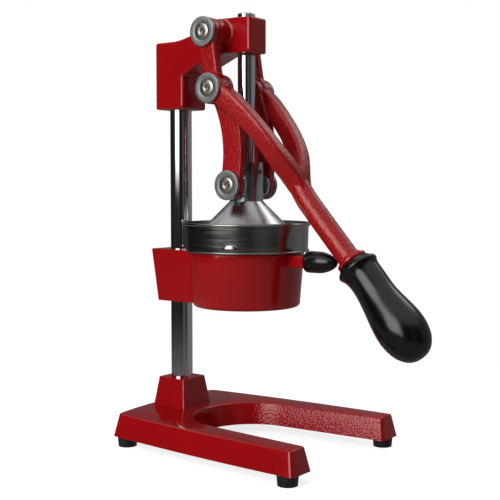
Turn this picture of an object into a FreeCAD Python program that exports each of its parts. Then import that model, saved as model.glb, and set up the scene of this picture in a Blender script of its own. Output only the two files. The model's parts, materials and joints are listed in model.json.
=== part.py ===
import FreeCAD, Part
import math
import os

# Citrus press with a toggle lever: a cast base, a chromed column, a bowl bracket and a head on it,
# and a fork lever whose links push a bell down over a perforated cone.
# Every piece is drawn about the press axis (x = 0, y = 0) with the front towards -Y and the floor
# at z = 0, and is then moved back so that the origin lies under the middle of the whole.
# All sizes are in millimetres.

V = FreeCAD.Vector
UP = V(0, 0, 1)
RIGHT = V(1, 0, 0)
FRONT = V(0, -1, 0)

# Whole
press_back = 41.4            # press axis behind the origin

# Clearances
run_clear = 0.05             # round the shafts and bolts that turn or slide, on the radius
side_clear = 0.3             # between flat faces that move past each other
seat_clear = 0.02            # round screws, pins and bars that are held, on the radius

# Feet
foot_dia = 20.0
foot_height = 10.0
foot_taper = 1.0
foot_inset = 2.0             # from the front and rear edges of the underside
foot_screw_dia = 5.0
foot_screw_head_dia = 9.0
foot_screw_head = 3.0
foot_recess_dia = 11.0
foot_recess = 5.0
foot_screw_grip = 10.0       # length of screw inside the base

# Base casting
base_thick = 22.0
base_draft = 4.2             # how much wider the casting is at its underside
base_front = 115.0           # front of the legs, before the press axis
base_rear = 104.0            # rear corners, behind the press axis
base_rear_bulge = 8.0
leg_outer = 88.5             # half width over the legs at the front
leg_inner = 66.8             # half width between the legs at the front
base_rear_half = 74.8
base_side_bulge = 3.0        # how far the outer sides bow out between their ends
cut_half = 58.0              # half width of the cut-out where its round end starts
cut_start = -4.0             # place of that start along Y
cut_rear = 51.0              # rear end of the cut-out
leg_corner = 4.0
rear_corner_radius = 9.0
base_edge = 2.0
boss_foot = 43.0             # width of the column boss at its foot
boss_top = 34.0
boss_height = 29.0

# Column
column_dia = 22.0
column_back = 84.0
column_floor = 5.0           # casting between the column's end and the washer's pocket
column_bolt_dia = 10.0
column_bolt_grip = 22.0
column_bolt_head_dia = 16.0
column_bolt_head = 6.0
column_bolt_socket = 8.0
column_washer_dia = 22.0
column_washer_thick = 2.0
column_pocket_gap = 1.0      # room round the washer in the underside pocket

# Bowl bracket
ring_drop = 64.1             # top of the ring below the bell's pivot
ring_height = 54.0
ring_top_radius = 56.7
ring_bottom_radius = 52.4
ring_wall = 6.0
ring_edge = 1.6
ring_foot_edge = 4.0
clamp_half = 18.5
clamp_drop = 1.0             # the clamp block's top lies this far below the ring's
clamp_rear = 26.0            # rear of the block behind the column axis, at its top
clamp_draft = 7.0            # how much shorter the block is at its underside
clamp_side_draft = 2.0       # how much narrower it is there on each side
clamp_edge = 3.0
stub_half = 8.0
stub_height = 11.5
stub_drop = 1.8              # top of the stub below the ring's
stub_end = 72.0              # front of the stub before the press axis
stub_edge = 2.0

# Bumper on the stub
bumper_dia = 20.5
bumper_neck_dia = 18.5
bumper_tip_radius = 6.0
bumper_belly = 8.0           # widest place in front of the stub
bumper_stud_dia = 6.0
bumper_stud_sink = 9.0       # length of the stud inside the stub
bumper_stud_reach = 18.0     # length of the stud inside the bumper

# Strainer cup
sheet = 1.0
cup_rim_radius = 62.5
cup_radius = 61.0
cup_rise = 28.2              # rim of the cup above the ring
cup_lip = 3.4                # height of the rolled lip
cup_foot_radius = 60.3
strain_cone_radius = 44.0
strain_cone_height = 35.0
strain_cone_top = 8.0        # radius of the flat tip
slot_rows = 2
slot_count = 16
slot_width = 2.4
slot_length = 13.0

# Juice funnel
funnel_flange_radius = 61.0
funnel_gap = 1.0             # between its wall and the ring
funnel_spout_radius = 14.0
funnel_spout_length = 9.0
funnel_drop = 34.0           # height of its sloping wall

# Head casting
guide_half = 14.0
guide_front = 14.5
guide_top = 419.5            # the pivots hang from this height, and the bell and the bowl from them
guide_height = 34.0
head_block_half = 18.5
head_block_height = 67.3
head_block_drop = 17.2       # top of the column block below the guide's
head_web_rise = 33.0         # where the web leaves the front of the block, above its underside
head_cap = 12.0              # casting left above the column's end
head_crest_back = 30.0       # rear end of the level top over the guide
head_throat_back = 20.0      # rear end of the level underside of the guide
head_hollow = 1.5            # how far the web's top and underside curve in
head_edge = 2.0
head_boss_dia = 28.0

# Pivots: place behind the press axis, and distance below the guide's top or the pivot above
pivot_head_back = 22.0
pivot_head_drop = 15.1
pivot_elbow_back = 13.0
pivot_elbow_drop = 54.0
pivot_bell_drop = 91.8
pivot_bolt_dia = 10.0
pivot_head_dia = 15.6
pivot_head_thick = 2.6
pivot_socket = 6.0           # across the flats of the hexagon socket
pivot_socket_depth = 2.0
pivot_washer_dia = 28.5
pivot_washer_thick = 3.6
pivot_washer_edge = 0.8
pivot_bolt_sink = 12.0       # length of bolt screwed into the casting inside

# Bell
ear_half = 20.2
ear_dia = 27.0
ear_bolt_gap = 0.7           # between the ends of the bolts and the rod
neck_radius = 16.5
neck_rise = 22.0             # top of the neck above the bell's pivot
neck_drop = 15.6             # its foot below the pivot
shoulder_radius = 20.5
skirt_radius = 51.0
skirt_slope = 45.0
skirt_rim = 5.0
bell_wall = 5.0
groove_count = 4
groove_width = 8.0
groove_depth = 3.0
rod_dia = 17.0
rod_proud = 4.7              # end of the rod above the guide
rod_sink = 30.0              # length of rod inside the bell's neck
rod_pin_dia = 5.0
rod_pin_drop = 9.0           # pin below the top of the neck
rod_chamfer = 1.2

# Links
link_thick = 8.0
link_width = 22.5
link_eye_dia = 28.0
link_bow = 9.5              # how far the link bows forward of its straight line
link_blend = 8.0             # where the strap runs into its eyes
link_edge = 1.5
nut_flats = 16.0
nut_thick = 4.5

# Lever
fork_gap = 0.5               # between the links and the lever's upright bars
upright_thick = 9.0
upright_width = 19.5
upright_eye_dia = 28.5
upright_blend = 6.0
upright_edge = 2.2
elbow_proud = 4.0            # the elbow boss stands this far out from the upright bar
elbow_dia = 30.0
arm_height = 15.0
plan_lift = 84.0             # the fork's plan is drawn this far under the arms
arm_thick = 14.5
fork_relief = 1.0            # room round the links inside the arms
arm_mid_front = 31.0         # middle of the arm's sweep before the press axis
arm_mid_drop = 43.9          # and below the elbow
bar_dia = 21.0
bar_start_front = 64.0       # where the arms have become one bar
bar_start_drop = 96.5        # and below the elbow
bar_dip = 48.7               # slope of the bar below level
bar_length = 70.0
bar_taper = 22.0             # the round bar grows out of the arms over this length
bar_taper_dia = 13.0
# Half widths of the fork and their distances from the elbow along the lever
shoulder_half = 38.5
shoulder_reach = 50.0
bend_half = 33.0
bend_reach = 71.0
inner_bend_half = 16.5
inner_bend_reach = 76.0
hip_half = 21.0
hip_reach = 92.0
neck_half = 13.2
neck_reach = 105.0
crotch_half = 6.0
crotch_reach = 99.0
collar_dia = 27.0
collar_length = 11.0
tang_dia = 12.0
tang_length = 84.0
grip_length = 112.0
grip_guard_dia = 40.5
grip_waist_dia = 34.2
grip_belly_dia = 45.6
grip_guard_reach = 11.0
grip_waist_reach = 29.0
grip_swell = 4.0             # how far the swelling starts behind the middle
grip_round = 6.0             # the widest place before the round end
grip_end_dia = 14.0
grip_end_round = 0.78        # radius of the round end as a share of the belly's, at the next share of it
grip_end_share = 0.4         # from the end
grip_screw_dia = 6.0
grip_screw_grip = 20.0
grip_screw_socket = 5.0
grip_screw_head_dia = 11.0
grip_screw_head = 4.0

# Set screws in the bracket and the head
set_screw_dia = 8.0
set_screw_socket = 4.0
set_screw_socket_depth = 4.0
set_screw_sunk = 1.0         # below the casting's face
bracket_screw_shares = (0.3, 0.7)    # heights of the screws as shares of the bracket's height
head_screw_shares = (0.3, 0.75)      # and of the column's length inside the head

# Levels and layers that follow from the sizes above
base_bottom = foot_height
base_top = base_bottom + base_thick
column_pocket = column_washer_thick + column_bolt_head
column_foot = base_bottom + column_pocket + column_floor
column_axis = V(0, column_back, 0)
guide_bottom = guide_top - guide_height
head_block_top = guide_top - head_block_drop
head_block_bottom = head_block_top - head_block_height
head_web_low = head_block_bottom + head_web_rise
head_column_top = head_block_top - head_cap
rod_top = guide_top + rod_proud
bell_bolt_end = rod_dia / 2 + ear_bolt_gap
link_inner = ear_half + side_clear
link_outer = link_inner + link_thick
bell_washer_inner = link_outer + side_clear
upright_inner = link_outer + fork_gap
upright_outer = upright_inner + upright_thick
head_washer_inner = upright_outer + side_clear
head_boss_half = upright_inner - side_clear
elbow_outer = upright_outer + elbow_proud
pivot_head = V(0, pivot_head_back, guide_top - pivot_head_drop)
pivot_elbow = V(0, pivot_elbow_back, pivot_head.z - pivot_elbow_drop)
pivot_bell = V(0, 0, pivot_elbow.z - pivot_bell_drop)
neck_top = pivot_bell.z + neck_rise
neck_bottom = pivot_bell.z - neck_drop
arm_middle = V(0, -arm_mid_front, pivot_elbow.z - arm_mid_drop)
bar_start = V(0, -bar_start_front, pivot_elbow.z - bar_start_drop)
bar_direction = V(0, -math.cos(math.radians(bar_dip)), -math.sin(math.radians(bar_dip)))
bar_normal = V(0, -math.sin(math.radians(bar_dip)), math.cos(math.radians(bar_dip)))
bar_end = bar_start + bar_direction * bar_length
ring_top = pivot_bell.z - ring_drop
ring_bottom = ring_top - ring_height
cup_rim = ring_top + cup_rise
stub_middle = ring_top - stub_drop - stub_height / 2


def save(name, shape):
    shape.translate(V(0, press_back, 0))
    shape.exportStep(os.path.join("parts", name + ".step"))


def disc(center, direction, dia, length):
    return Part.makeCylinder(dia / 2, length, center, direction)


def cone_piece(center, direction, dia_near, dia_far, length):
    return Part.makeCone(dia_near / 2, dia_far / 2, length, center, direction)


def at_x(point, x):
    return V(x, point.y, point.z)


def mirrored(shape):
    return shape.mirror(V(0, 0, 0), RIGHT)


def pair(shape):
    return Part.makeCompound([shape, mirrored(shape)])


def fused(*shapes):
    return shapes[0].multiFuse(list(shapes[1:])).removeSplitter()


def closed_wire(*edges):
    return Part.Wire(Part.__sortEdges__(list(edges)))


def line(a, b):
    return Part.makeLine(a, b)


def arc(a, middle, b):
    return Part.Arc(a, middle, b).toShape()


def polygon(*points):
    return Part.makePolygon(list(points) + [points[0]])


def turned(*points):
    """Solid of revolution about the press axis from (radius, height) points."""
    wire = polygon(*[V(radius, 0, height) for radius, height in points])
    return Part.Face(wire).revolve(V(0, 0, 0), UP, 360)


def hexagon(center, direction, flats, depth):
    """Hexagonal prism that starts at a point and runs along a direction."""
    radius = flats / math.sqrt(3)
    corners = [V(radius * math.cos(math.radians(60 * i)), radius * math.sin(math.radians(60 * i)), 0)
               for i in range(6)]
    prism = Part.Face(polygon(*corners)).extrude(UP * depth)
    prism.Placement = FreeCAD.Placement(center, FreeCAD.Rotation(UP, direction))
    return prism


def slab(wire, x_from, x_to):
    """Solid from a closed outline in the middle plane, between two distances to the side."""
    wire.translate(V(x_from, 0, 0))
    return Part.Face(wire).extrude(V(x_to - x_from, 0, 0))


def edges_along(shape, direction, least=0.0):
    """Straight edges of a shape that run along a direction."""
    found = []
    for edge in shape.Edges:
        if edge.Curve.TypeId == "Part::GeomLine" and edge.Length > least:
            if abs(edge.Curve.Direction.dot(direction)) > 0.999:
                found.append(edge)
    return found


def creases_along(shape, direction):
    """Straight edges along a direction where two faces of a shape meet."""
    return [edge for edge in edges_along(shape, direction)
            if len(shape.ancestorsOfType(edge, Part.Face)) == 2]


def edges_at_height(shape, height):
    """Edges of a shape that lie in one level plane."""
    return [edge for edge in shape.Edges
            if abs(edge.BoundBox.ZMin - height) < 0.01 and abs(edge.BoundBox.ZMax - height) < 0.01]


def edges_at_x(shape, *places):
    """Edges of a shape that lie in a plane square to X."""
    return [edge for edge in shape.Edges
            if any(abs(edge.BoundBox.XMin - x) < 0.01 and abs(edge.BoundBox.XMax - x) < 0.01
                   for x in places)]


def foot_places():
    """Middles of the feet, which lie just inside the corners of the underside."""
    reach = foot_dia / 2 - base_draft
    front = base_front - reach - foot_inset
    rear = base_rear - reach - foot_inset
    return {
        "front_left": V(-leg_outer + reach, -front, 0),
        "front_right": V(leg_outer - reach, -front, 0),
        "rear_left": V(-base_rear_half + reach, rear, 0),
        "rear_right": V(base_rear_half - reach, rear, 0),
    }


def base_outline(grow, height):
    """Plan of the base: a U that opens to the front, with bowed sides and rear."""
    outer = leg_outer + grow
    inner = leg_inner - grow
    rear_half = base_rear_half + grow
    front = -base_front - grow
    rear = base_rear + grow
    half = cut_half - grow
    cut_end = cut_rear - grow
    side = V((outer + rear_half) / 2 + base_side_bulge, (front + rear) / 2, height)
    front_outer = V(outer, front, height)
    front_inner = V(inner, front, height)
    rear_corner = V(rear_half, rear, height)
    cut_corner = V(half, cut_start, height)

    def left(point):
        return V(-point.x, point.y, point.z)

    return closed_wire(
        arc(front_outer, side, rear_corner),
        arc(rear_corner, V(0, rear + base_rear_bulge, height), left(rear_corner)),
        arc(left(rear_corner), left(side), left(front_outer)),
        line(left(front_outer), left(front_inner)),
        line(left(front_inner), left(cut_corner)),
        arc(left(cut_corner), V(0, cut_end, height), cut_corner),
        line(cut_corner, front_inner),
        line(front_inner, front_outer),
    )


def square(width, center, height):
    half = width / 2
    return polygon(
        V(center.x - half, center.y - half, height),
        V(center.x + half, center.y - half, height),
        V(center.x + half, center.y + half, height),
        V(center.x - half, center.y + half, height),
    )


def base_casting():
    plan = [base_outline(base_draft, base_bottom), base_outline(0, base_top)]
    frame = Part.makeLoft(plan, True, True)
    upright = [edge for edge in frame.Edges if edge.BoundBox.ZLength > base_thick / 2]
    front_corners = [edge for edge in upright if edge.Vertexes[0].Y < -base_front / 2]
    frame = frame.makeFillet(leg_corner, front_corners)
    upright = [edge for edge in frame.Edges if edge.BoundBox.ZLength > base_thick / 2]
    rear_corners = [edge for edge in upright if edge.Vertexes[0].Y > base_rear / 2]
    frame = frame.makeFillet(rear_corner_radius, rear_corners)
    frame = frame.makeFillet(base_edge, edges_at_height(frame, base_top))
    boss_sides = [square(boss_foot, column_axis, base_top - base_edge),
                  square(boss_top, column_axis, base_top + boss_height)]
    boss = Part.makeLoft(boss_sides, True, True)
    boss = boss.makeFillet(base_edge, [edge for edge in boss.Edges if edge.BoundBox.ZLength > boss_height])
    casting = fused(frame, boss)
    bore_length = base_top + boss_height - column_foot
    pocket_dia = column_washer_dia + 2 * column_pocket_gap
    cuts = [
        disc(column_axis + UP * column_foot, UP, column_dia + 2 * seat_clear, bore_length),
        disc(column_axis + UP * base_bottom, UP, column_bolt_dia + 2 * seat_clear, base_thick),
        disc(column_axis + UP * base_bottom, UP, pocket_dia, column_pocket),
    ]
    for place in foot_places().values():
        cuts.append(disc(place + UP * base_bottom, UP, foot_screw_dia + 2 * seat_clear, foot_screw_grip))
    return casting.cut(cuts)


def foot(place):
    body = cone_piece(place, UP, foot_dia - 2 * foot_taper, foot_dia, foot_height)
    hole = disc(place, UP, foot_screw_dia + 2 * seat_clear, foot_height)
    return body.cut([hole, disc(place, UP, foot_recess_dia, foot_recess)])


def foot_screw(place):
    head = disc(place + UP * (foot_recess - foot_screw_head), UP, foot_screw_head_dia, foot_screw_head)
    shank = disc(place + UP * foot_recess, UP, foot_screw_dia, foot_height - foot_recess + foot_screw_grip)
    return fused(head, shank)


def column():
    bar = disc(column_axis + UP * column_foot, UP, column_dia, head_column_top - column_foot)
    thread = disc(column_axis + UP * column_foot, UP, column_bolt_dia + 2 * seat_clear, column_bolt_grip)
    return bar.cut(thread)


def column_washer():
    seat = column_axis + UP * (base_bottom + column_bolt_head)
    ring = disc(seat, UP, column_washer_dia, column_washer_thick)
    return ring.cut(disc(seat, UP, column_bolt_dia + 2 * seat_clear, column_washer_thick))


def column_bolt():
    under = column_axis + UP * base_bottom
    head = disc(under, UP, column_bolt_head_dia, column_bolt_head)
    reach = column_pocket + column_floor + column_bolt_grip - column_bolt_head
    shank = disc(under + UP * column_bolt_head, UP, column_bolt_dia, reach)
    bolt = fused(head, shank)
    return bolt.cut(hexagon(under, UP, column_bolt_socket, column_bolt_head / 2))


def set_screw_hole(place):
    return disc(place + V(0, 1, 0), FRONT, set_screw_dia + 2 * seat_clear, place.y + 1 - column_back)


def set_screw(place):
    face = place + FRONT * set_screw_sunk
    length = face.y - column_back - column_dia / 2
    screw = disc(face, FRONT, set_screw_dia, length)
    return screw.cut(hexagon(face, FRONT, set_screw_socket, set_screw_socket_depth))


def clamp_rear_at(height):
    """Rear face of the bracket's clamp block at a height, from the draft of its sides."""
    top = ring_top - clamp_drop
    return column_back + clamp_rear - clamp_draft * (top - height) / (top - ring_bottom)


def bracket_screw_places():
    heights = [ring_bottom + ring_height * share for share in bracket_screw_shares]
    return [V(0, clamp_rear_at(height), height) for height in heights]


def head_screw_places():
    height = head_column_top - head_block_bottom
    return [V(0, column_back + head_block_half, head_block_bottom + height * share)
            for share in head_screw_shares]


def clamp_section(inset, height):
    half = clamp_half - inset * clamp_side_draft / clamp_draft
    rear = column_back + clamp_rear - inset
    return polygon(V(-half, 0, height), V(half, 0, height), V(half, rear, height), V(-half, rear, height))


def bowl_bracket():
    ring = turned((0, ring_bottom), (ring_bottom_radius, ring_bottom),
                  (ring_top_radius, ring_top), (0, ring_top))
    ring = ring.makeFillet(ring_edge, edges_at_height(ring, ring_top))
    ring = ring.makeFillet(ring_foot_edge, edges_at_height(ring, ring_bottom))
    clamp = Part.makeLoft([clamp_section(clamp_draft, ring_bottom),
                           clamp_section(0, ring_top - clamp_drop)], True, True)
    rear_edges = [edge for edge in clamp.Edges
                  if edge.BoundBox.ZLength > ring_height / 2 and edge.Vertexes[0].Y > column_back]
    clamp = clamp.makeFillet(clamp_edge, rear_edges)
    stub_size = V(2 * stub_half, stub_end, stub_height)
    stub = Part.makeBox(stub_size.x, stub_size.y, stub_size.z,
                        V(-stub_half, -stub_end, stub_middle - stub_height / 2))
    stub = stub.makeFillet(stub_edge, edges_along(stub, FRONT))
    casting = fused(ring, clamp, stub)
    bore = turned((0, ring_bottom), (ring_bottom_radius - ring_wall, ring_bottom),
                  (ring_top_radius - ring_wall, ring_top), (0, ring_top))
    cuts = [bore, disc(column_axis + UP * ring_bottom, UP, column_dia + 2 * seat_clear, ring_height)]
    cuts += [set_screw_hole(place) for place in bracket_screw_places()]
    stud_seat = V(0, -stub_end + bumper_stud_sink, stub_middle)
    cuts.append(disc(stud_seat, FRONT, bumper_stud_dia + 2 * seat_clear, bumper_stud_sink))
    return casting.cut(cuts)


def bumper_tip():
    """Middle of the bumper's round tip, which just clears the lever's bar, collar and grip at rest."""
    dip = math.radians(bar_dip)
    grip_start = bar_end + bar_direction * collar_length
    places = []
    for start, near_dia, far_dia, length in ((bar_end, bar_dia, bar_dia, bar_length),
                                             (bar_end, bar_dia, collar_dia, collar_length),
                                             (grip_start, collar_dia, grip_guard_dia, grip_guard_reach)):
        flare = math.atan2((far_dia - near_dia) / 2, length)
        reach = near_dia / 2 + (bumper_tip_radius + side_clear) / math.cos(flare)
        drop = (stub_middle - start.z) * (math.cos(dip) - math.sin(dip) * math.tan(flare))
        places.append(start.y + (reach + drop) / (math.sin(dip) + math.cos(dip) * math.tan(flare)))
    return V(0, max(places), stub_middle)


def bumper():
    back = V(0, -stub_end, stub_middle)
    tip = bumper_tip()
    neck = bumper_neck_dia / 2
    belly = back + V(0, -bumper_belly, bumper_dia / 2)
    shoulder = tip + V(0, 0, bumper_tip_radius)
    front = tip + FRONT * bumper_tip_radius
    slant = math.sqrt(0.5) * bumper_tip_radius
    profile = Part.BSplineCurve()
    profile.interpolate([back + UP * neck, belly, shoulder])
    wire = closed_wire(
        line(back, back + UP * neck),
        profile.toShape(),
        arc(shoulder, tip + V(0, -slant, slant), front),
        line(front, back),
    )
    body = Part.Face(wire).revolve(back, FRONT, 360)
    return body.cut(disc(back, FRONT, bumper_stud_dia + 2 * seat_clear, bumper_stud_reach))


def bumper_stud():
    start = V(0, -stub_end + bumper_stud_sink, stub_middle)
    return disc(start, FRONT, bumper_stud_dia, bumper_stud_sink + bumper_stud_reach)


def juice_funnel():
    top = ring_top + sheet
    outer = ring_top_radius - ring_wall - funnel_gap
    neck = ring_top - funnel_drop
    mouth = neck - funnel_spout_length
    spout = funnel_spout_radius
    return turned(
        (outer - sheet, top), (funnel_flange_radius, top), (funnel_flange_radius, ring_top),
        (outer, ring_top), (spout, neck), (spout, mouth), (spout - sheet, mouth),
        (spout - sheet, neck + sheet / 2),
    )


def slope_of_cone():
    return math.atan2(strain_cone_height, strain_cone_radius - strain_cone_top)


def strainer_cup():
    floor = ring_top + sheet
    inside = floor + sheet
    lip_low = cup_rim - cup_lip
    cap = inside + strain_cone_height
    skin = sheet / math.sin(math.pi / 2 - slope_of_cone())
    cup = turned(
        (0, cap), (strain_cone_top, cap), (strain_cone_radius, inside), (cup_foot_radius - sheet, inside),
        (cup_radius - sheet, lip_low), (cup_radius - sheet, cup_rim), (cup_rim_radius, cup_rim),
        (cup_rim_radius, lip_low), (cup_rim_radius - sheet, lip_low),
        (cup_rim_radius - sheet, cup_rim - sheet), (cup_radius, cup_rim - sheet),
        (cup_radius, lip_low), (cup_foot_radius, floor),
        (strain_cone_radius - skin, floor), (strain_cone_top - sheet / 2, cap - skin), (0, cap - skin),
    )
    along = (strain_cone_radius - strain_cone_top) / math.cos(slope_of_cone())
    slots = []
    for row in range(slot_rows):
        reach = along * (row + 0.5) / slot_rows
        radius = strain_cone_radius - reach * math.cos(slope_of_cone())
        height = inside + reach * math.sin(slope_of_cone())
        for i in range(slot_count):
            slot = Part.makeBox(slot_length, slot_width, 4 * sheet,
                                V(-slot_length / 2, -slot_width / 2, -2 * sheet))
            slot.rotate(V(0, 0, 0), V(0, 1, 0), math.degrees(slope_of_cone()))
            slot.translate(V(radius, 0, height))
            slot.rotate(V(0, 0, 0), UP, 360 / slot_count * (i + row / slot_rows))
            slots.append(slot)
    return cup.cut(slots)


def head_casting():
    low_front = V(0, -guide_front, guide_bottom)
    high_front = V(0, -guide_front, guide_top)
    crest = V(0, head_crest_back, guide_top)
    block_front = column_back - head_block_half
    hollow = V(0, (crest.y + block_front) / 2, (guide_top + head_block_top) / 2 - head_hollow)
    flat = V(0, block_front + head_block_half / 2, head_block_top)
    inside_top = V(0, column_back, head_block_top)
    inside_low = V(0, column_back, head_web_low)
    web_low = V(0, block_front, head_web_low)
    throat_end = V(0, head_throat_back, guide_bottom)
    throat = V(0, (block_front + head_throat_back) / 2, (head_web_low + guide_bottom) / 2 + head_hollow)
    side = closed_wire(
        line(low_front, high_front), line(high_front, crest), arc(crest, hollow, flat),
        line(flat, inside_top), line(inside_top, inside_low), line(inside_low, web_low),
        arc(web_low, throat, throat_end), line(throat_end, low_front),
    )
    web = slab(side, -guide_half, guide_half)
    web = web.makeFillet(head_edge, edges_along(web, UP))
    block = Part.makeBox(2 * head_block_half, 2 * head_block_half, head_block_top - head_block_bottom,
                         V(-head_block_half, block_front, head_block_bottom))
    block = block.makeFillet(head_edge, edges_along(block, UP))
    boss = disc(at_x(pivot_head, -head_boss_half), RIGHT, head_boss_dia, 2 * head_boss_half)
    casting = fused(web, block, boss)
    cuts = [
        disc(column_axis + UP * head_block_bottom, UP, column_dia + 2 * seat_clear,
             head_column_top - head_block_bottom),
        disc(UP * guide_bottom, UP, rod_dia + 2 * run_clear, guide_top - guide_bottom),
    ]
    for side_sign in (-1, 1):
        face = at_x(pivot_head, side_sign * head_boss_half)
        cuts.append(disc(face, RIGHT * -side_sign, pivot_bolt_dia + 2 * seat_clear, pivot_bolt_sink))
    cuts += [set_screw_hole(place) for place in head_screw_places()]
    return casting.cut(cuts)


def pivot_washer(pivot, inner):
    """Right-hand washer of a pivot, with a recess for the bolt's head."""
    near = at_x(pivot, inner)
    body = disc(near, RIGHT, pivot_washer_dia, pivot_washer_thick)
    outer = inner + pivot_washer_thick
    body = body.makeChamfer(pivot_washer_edge, edges_at_x(body, outer))
    hole = disc(near, RIGHT, pivot_bolt_dia + 2 * run_clear, pivot_washer_thick)
    seat = at_x(pivot, outer - pivot_head_thick)
    recess = disc(seat, RIGHT, pivot_head_dia + 2 * run_clear, pivot_head_thick)
    return body.cut([hole, recess])


def pivot_bolt(pivot, washer_inner, end):
    """Right-hand bolt of a pivot, from its head in the washer to an end nearer the middle."""
    outer = washer_inner + pivot_washer_thick
    under = outer - pivot_head_thick
    head = disc(at_x(pivot, under), RIGHT, pivot_head_dia, pivot_head_thick)
    shank = disc(at_x(pivot, end), RIGHT, pivot_bolt_dia, under - end)
    socket = hexagon(at_x(pivot, outer), RIGHT * -1, pivot_socket, pivot_socket_depth)
    return fused(head, shank).cut(socket)


def press_bell():
    slope = math.tan(math.radians(skirt_slope))
    skin = bell_wall / math.cos(math.radians(skirt_slope))
    shoulder = neck_bottom - (shoulder_radius - neck_radius) * slope
    skirt_low = shoulder - (skirt_radius - shoulder_radius) * slope
    rim = skirt_low - skirt_rim
    inner_rim = skirt_radius - bell_wall
    inner_low = skirt_low + bell_wall * slope - skin
    crown = rod_dia / 2
    crown_high = inner_low + (inner_rim - crown) * slope
    seat = neck_top - rod_sink
    bore = rod_dia / 2 + seat_clear
    body = turned(
        (bore, neck_top), (neck_radius, neck_top), (neck_radius, neck_bottom), (shoulder_radius, shoulder),
        (skirt_radius, skirt_low), (skirt_radius, rim), (inner_rim, rim), (inner_rim, inner_low),
        (crown, crown_high), (0, crown_high), (0, seat), (bore, seat),
    )
    ears = disc(at_x(pivot_bell, -ear_half), RIGHT, ear_dia, 2 * ear_half)
    middle = disc(UP * seat, UP, rod_dia + 2 * seat_clear, rod_sink)
    cuts = [middle, disc(V(0, skirt_radius, neck_top - rod_pin_drop), FRONT, rod_pin_dia + 2 * seat_clear,
                         2 * skirt_radius)]
    for sign in (-1, 1):
        face = at_x(pivot_bell, sign * ear_half)
        cuts.append(disc(face, RIGHT * -sign, pivot_bolt_dia + 2 * seat_clear, ear_half - bell_bolt_end))
    for i in range(groove_count):
        groove = Part.makeBox(groove_width, groove_width, 2 * (neck_top - neck_bottom))
        groove.rotate(V(0, 0, 0), UP, 45)
        groove.translate(V(0, -neck_radius - groove_width * math.sqrt(2) + groove_depth, neck_bottom))
        groove.rotate(V(0, 0, 0), UP, 360 / groove_count * (i + 0.5))
        cuts.append(groove)
    return fused(body, ears).cut(cuts)


def press_rod():
    rod = disc(UP * (neck_top - rod_sink), UP, rod_dia, rod_top - neck_top + rod_sink)
    rod = rod.makeChamfer(rod_chamfer, edges_at_height(rod, rod_top))
    pin_start = V(0, rod_dia, neck_top - rod_pin_drop)
    return rod.cut(disc(pin_start, FRONT, rod_pin_dia + 2 * seat_clear, 2 * rod_dia))


def rod_pin():
    return disc(V(0, neck_radius, neck_top - rod_pin_drop), FRONT, rod_pin_dia, 2 * neck_radius)


def link_outline():
    """Side outline of a curved link: a bowed strap between its two eyes, without the eyes."""
    chord = pivot_bell - pivot_elbow
    middle = (pivot_bell + pivot_elbow) * 0.5
    forward = V(0, chord.z, -chord.y).normalize()
    bow = middle + forward * link_bow
    curve = arc(pivot_elbow, bow, pivot_bell).Curve
    centre = curve.Center
    rings = []
    for shift in (-link_width / 2, link_width / 2):
        rings.append([centre + (point - centre) * ((curve.Radius + shift) / curve.Radius)
                      for point in (pivot_elbow, bow, pivot_bell)])
    inner, outer = rings
    return closed_wire(arc(*inner), line(inner[2], outer[2]), arc(*outer), line(outer[0], inner[0]))


def link_blank(x_from, x_to, spare):
    """A link's solid, larger by a clearance on every side."""
    strap = slab(link_outline(), x_from, x_to)
    eyes = [disc(at_x(pivot, x_from), RIGHT, link_eye_dia + 2 * spare, x_to - x_from)
            for pivot in (pivot_elbow, pivot_bell)]
    return strap, eyes


def link():
    strap, eyes = link_blank(link_inner, link_outer, 0)
    body = fused(strap, *eyes)
    body = body.makeFillet(link_blend, creases_along(body, RIGHT))
    body = body.makeFillet(link_edge, edges_at_x(body, link_inner, link_outer))
    through = 2 * link_thick
    return body.cut([
        disc(at_x(pivot_bell, link_inner - link_thick / 2), RIGHT, pivot_bolt_dia + 2 * run_clear, through),
        disc(at_x(pivot_elbow, link_inner - link_thick / 2), RIGHT, pivot_bolt_dia + 2 * seat_clear, through),
    ])


def elbow_nut():
    """Nut inside a link's upper eye, with the end of the elbow's pin that the eye turns on."""
    nut = hexagon(at_x(pivot_elbow, link_inner), RIGHT * -1, nut_flats, nut_thick)
    stub = disc(at_x(pivot_elbow, link_inner), RIGHT, pivot_bolt_dia, link_thick)
    return fused(nut, stub)


def bar_through(a, b, width):
    """Side outline of a straight bar between two pivots."""
    along = (b - a).normalize()
    across = V(0, -along.z, along.y) * (width / 2)
    return polygon(a + across, b + across, b - across, a - across)


def upright():
    """Right-hand upright bar of the lever, from the head's pivot down to the elbow."""
    bar = slab(bar_through(pivot_head, pivot_elbow, upright_width), upright_inner, upright_outer)
    eye = disc(at_x(pivot_head, upright_inner), RIGHT, upright_eye_dia, upright_thick)
    elbow = disc(at_x(pivot_elbow, upright_inner), RIGHT, elbow_dia, upright_thick)
    body = fused(bar, eye, elbow)
    body = body.makeFillet(upright_blend, creases_along(body, RIGHT))
    return body.makeFillet(upright_edge, edges_at_x(body, upright_outer))


def arm_side():
    """Side outline of the fork's arms, from the elbow to where they have become one bar."""
    places = [pivot_elbow, arm_middle, bar_start]
    sweep = arc(*places).Curve
    out = [(place - sweep.Center).normalize() * (arm_height / 2) for place in places]
    top = [place + step for place, step in zip(places, out)]
    low = [place - step for place, step in zip(places, out)]
    return closed_wire(arc(*top), line(top[2], low[2]), arc(*low), line(low[0], top[0]))


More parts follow.
